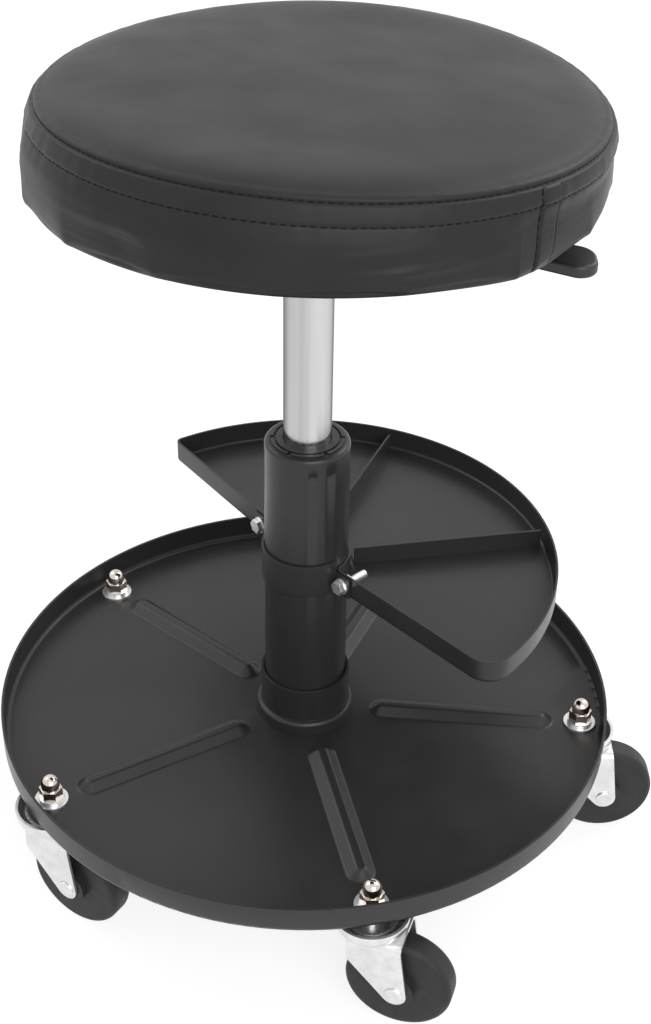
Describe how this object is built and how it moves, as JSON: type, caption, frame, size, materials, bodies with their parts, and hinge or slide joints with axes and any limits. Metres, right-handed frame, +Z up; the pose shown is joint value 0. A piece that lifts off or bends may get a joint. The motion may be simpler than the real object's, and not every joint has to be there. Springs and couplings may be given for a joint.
{
  "type": "rolling stool",
  "caption": "Low rolling work stool: round padded seat on a gas-lift column, a swinging sector tool tray and a round dished base pan on swivel casters.",
  "frame": {"origin": "on the column's axis, at the floor that the wheels stand on", "axes": "+Z up along the column; +X to the right and -Y towards the viewer of the picture"},
  "size_m": [0.4142, 0.3834, 0.5004],
  "materials": {
    "black_enamel": "semi-gloss baked enamel",
    "bright_zinc": "bright zinc plate",
    "bright_nickel": "polished nickel plate",
    "satin_chrome": "ground and chromed",
    "bare_steel": "ground steel",
    "black_vinyl": "fine-grained vinyl, low sheen",
    "seat_foam": "cut foam",
    "plywood": "raw plywood",
    "black_rubber": "matt",
    "black_plastic": "moulded, fine texture",
    "white_plastic": "moulded"
  },
  "bodies": {
    "base": {"base_pan": "black_enamel", "hub_collar": "black_enamel", "column_tube": "black_enamel", "guide_bush": "black_plastic", "lower_race": "bare_steel", "thrust_balls": "bare_steel", "caster_stems": "bright_zinc", "caster_race_cups": "bright_zinc", "flat_washers": "bright_zinc", "lock_washers": "bright_zinc", "acorn_nuts": "bright_nickel"},
    "lift_rod": {"piston_rod": "bare_steel", "piston": "bare_steel", "upper_race": "bare_steel", "rubber_bumper": "black_rubber", "rod_clip": "bare_steel"},
    "seat": {"gas_cylinder": "satin_chrome", "rod_seal": "black_rubber", "lift_socket": "black_enamel", "seat_plate": "black_enamel", "seat_board": "plywood", "seat_foam": "seat_foam", "seat_cover": "black_vinyl", "seat_bolts": "bright_zinc", "seat_bolt_washers": "bright_zinc", "seat_tee_nuts": "bright_zinc", "lever_ears": "black_enamel", "lever_pivot_pin": "bright_zinc"},
    "release_lever": {"release_lever": "black_enamel", "lever_paddle": "black_plastic"},
    "release_pin": {"release_pin": "bare_steel"},
    "tray": {"tool_tray": "black_enamel", "tray_divider_right": "black_enamel", "tray_divider_back": "black_enamel", "tray_strap": "black_enamel", "tray_bolts": "bright_zinc", "tray_nuts": "bright_zinc", "tray_bolt_washers": "bright_zinc"},
    "caster_front": {"caster_fork_front": "bright_zinc", "caster_axle_front": "bright_zinc"},
    "wheel_front": {"caster_wheel_front": "black_rubber", "wheel_bush_front": "white_plastic"},
    "caster_right": {"caster_fork_right": "bright_zinc", "caster_axle_right": "bright_zinc"},
    "wheel_right": {"caster_wheel_right": "black_rubber", "wheel_bush_right": "white_plastic"},
    "caster_back_right": {"caster_fork_back_right": "bright_zinc", "caster_axle_back_right": "bright_zinc"},
    "wheel_back_right": {"caster_wheel_back_right": "black_rubber", "wheel_bush_back_right": "white_plastic"},
    "caster_back_left": {"caster_fork_back_left": "bright_zinc", "caster_axle_back_left": "bright_zinc"},
    "wheel_back_left": {"caster_wheel_back_left": "black_rubber", "wheel_bush_back_left": "white_plastic"},
    "caster_left": {"caster_fork_left": "bright_zinc", "caster_axle_left": "bright_zinc"},
    "wheel_left": {"caster_wheel_left": "black_rubber", "wheel_bush_left": "white_plastic"}
  },
  "joints": [
    {"name": "seat_swivel", "type": "hinge", "parent": "base", "child": "lift_rod", "pos_m": [0, 0, 0.0729], "axis": [0, 0, 1], "continuous": true},
    {"name": "seat_height", "type": "slide", "parent": "lift_rod", "child": "seat", "axis": [0, 0, 1], "range_m": [-0.12, 0], "stiffness_N_per_m": 400, "springref_m": 0.75},
    {"name": "release_lever_lift", "type": "hinge", "parent": "seat", "child": "release_lever", "pos_m": [0.03045, -0.01512, 0.4329], "axis": [-0.4446, -0.8957, 0], "range_deg": [0, 5], "stiffness_Nm_per_rad": 2, "springref_deg": -8.59},
    {"name": "release_pin_slide", "type": "slide", "parent": "seat", "child": "release_pin", "axis": [0, 0, 1], "range_m": [-0.0031, 0]},
    {"name": "tray_swing", "type": "hinge", "parent": "base", "child": "tray", "pos_m": [0, 0, 0.1939], "axis": [0, 0, 1], "continuous": true},
    {"name": "caster_swivel_front", "type": "hinge", "parent": "base", "child": "caster_front", "pos_m": [0.03846, -0.17011, 0.0682], "axis": [0, 0, 1], "continuous": true},
    {"name": "wheel_spin_front", "type": "hinge", "parent": "caster_front", "child": "wheel_front", "pos_m": [0.05645, -0.17623, 0.0315], "axis": [0.3223, 0.9466, 0], "continuous": true},
    {"name": "caster_swivel_right", "type": "hinge", "parent": "base", "child": "caster_right", "pos_m": [0.17367, -0.01599, 0.0682], "axis": [0, 0, 1], "continuous": true},
    {"name": "wheel_spin_right", "type": "hinge", "parent": "caster_right", "child": "wheel_right", "pos_m": [0.19267, -0.01589, 0.0315], "axis": [-0.0052, 1, 0], "continuous": true},
    {"name": "caster_swivel_back_right", "type": "hinge", "parent": "base", "child": "caster_back_right", "pos_m": [0.06887, 0.16023, 0.0682], "axis": [0, 0, 1], "continuous": true},
    {"name": "wheel_spin_back_right", "type": "hinge", "parent": "caster_back_right", "child": "wheel_back_right", "pos_m": [0.08731, 0.15563, 0.0315], "axis": [0.2419, 0.9703, 0], "continuous": true},
    {"name": "caster_swivel_back_left", "type": "hinge", "parent": "base", "child": "caster_back_left", "pos_m": [-0.1311, 0.11501, 0.0682], "axis": [0, 0, 1], "continuous": true},
    {"name": "wheel_spin_back_left", "type": "hinge", "parent": "caster_back_left", "child": "wheel_back_left", "pos_m": [-0.11388, 0.10698, 0.0315], "axis": [0.4226, 0.9063, 0], "continuous": true},
    {"name": "caster_swivel_left", "type": "hinge", "parent": "base", "child": "caster_left", "pos_m": [-0.1499, -0.08914, 0.0682], "axis": [0, 0, 1], "continuous": true},
    {"name": "wheel_spin_left", "type": "hinge", "parent": "caster_left", "child": "wheel_left", "pos_m": [-0.13394, -0.09946, 0.0315], "axis": [0.5432, 0.8396, 0], "continuous": true}
  ],
  "couplings": [
    {"joint": "release_pin_slide", "follows": "release_lever_lift", "m_per_rad": -0.034}
  ]
}
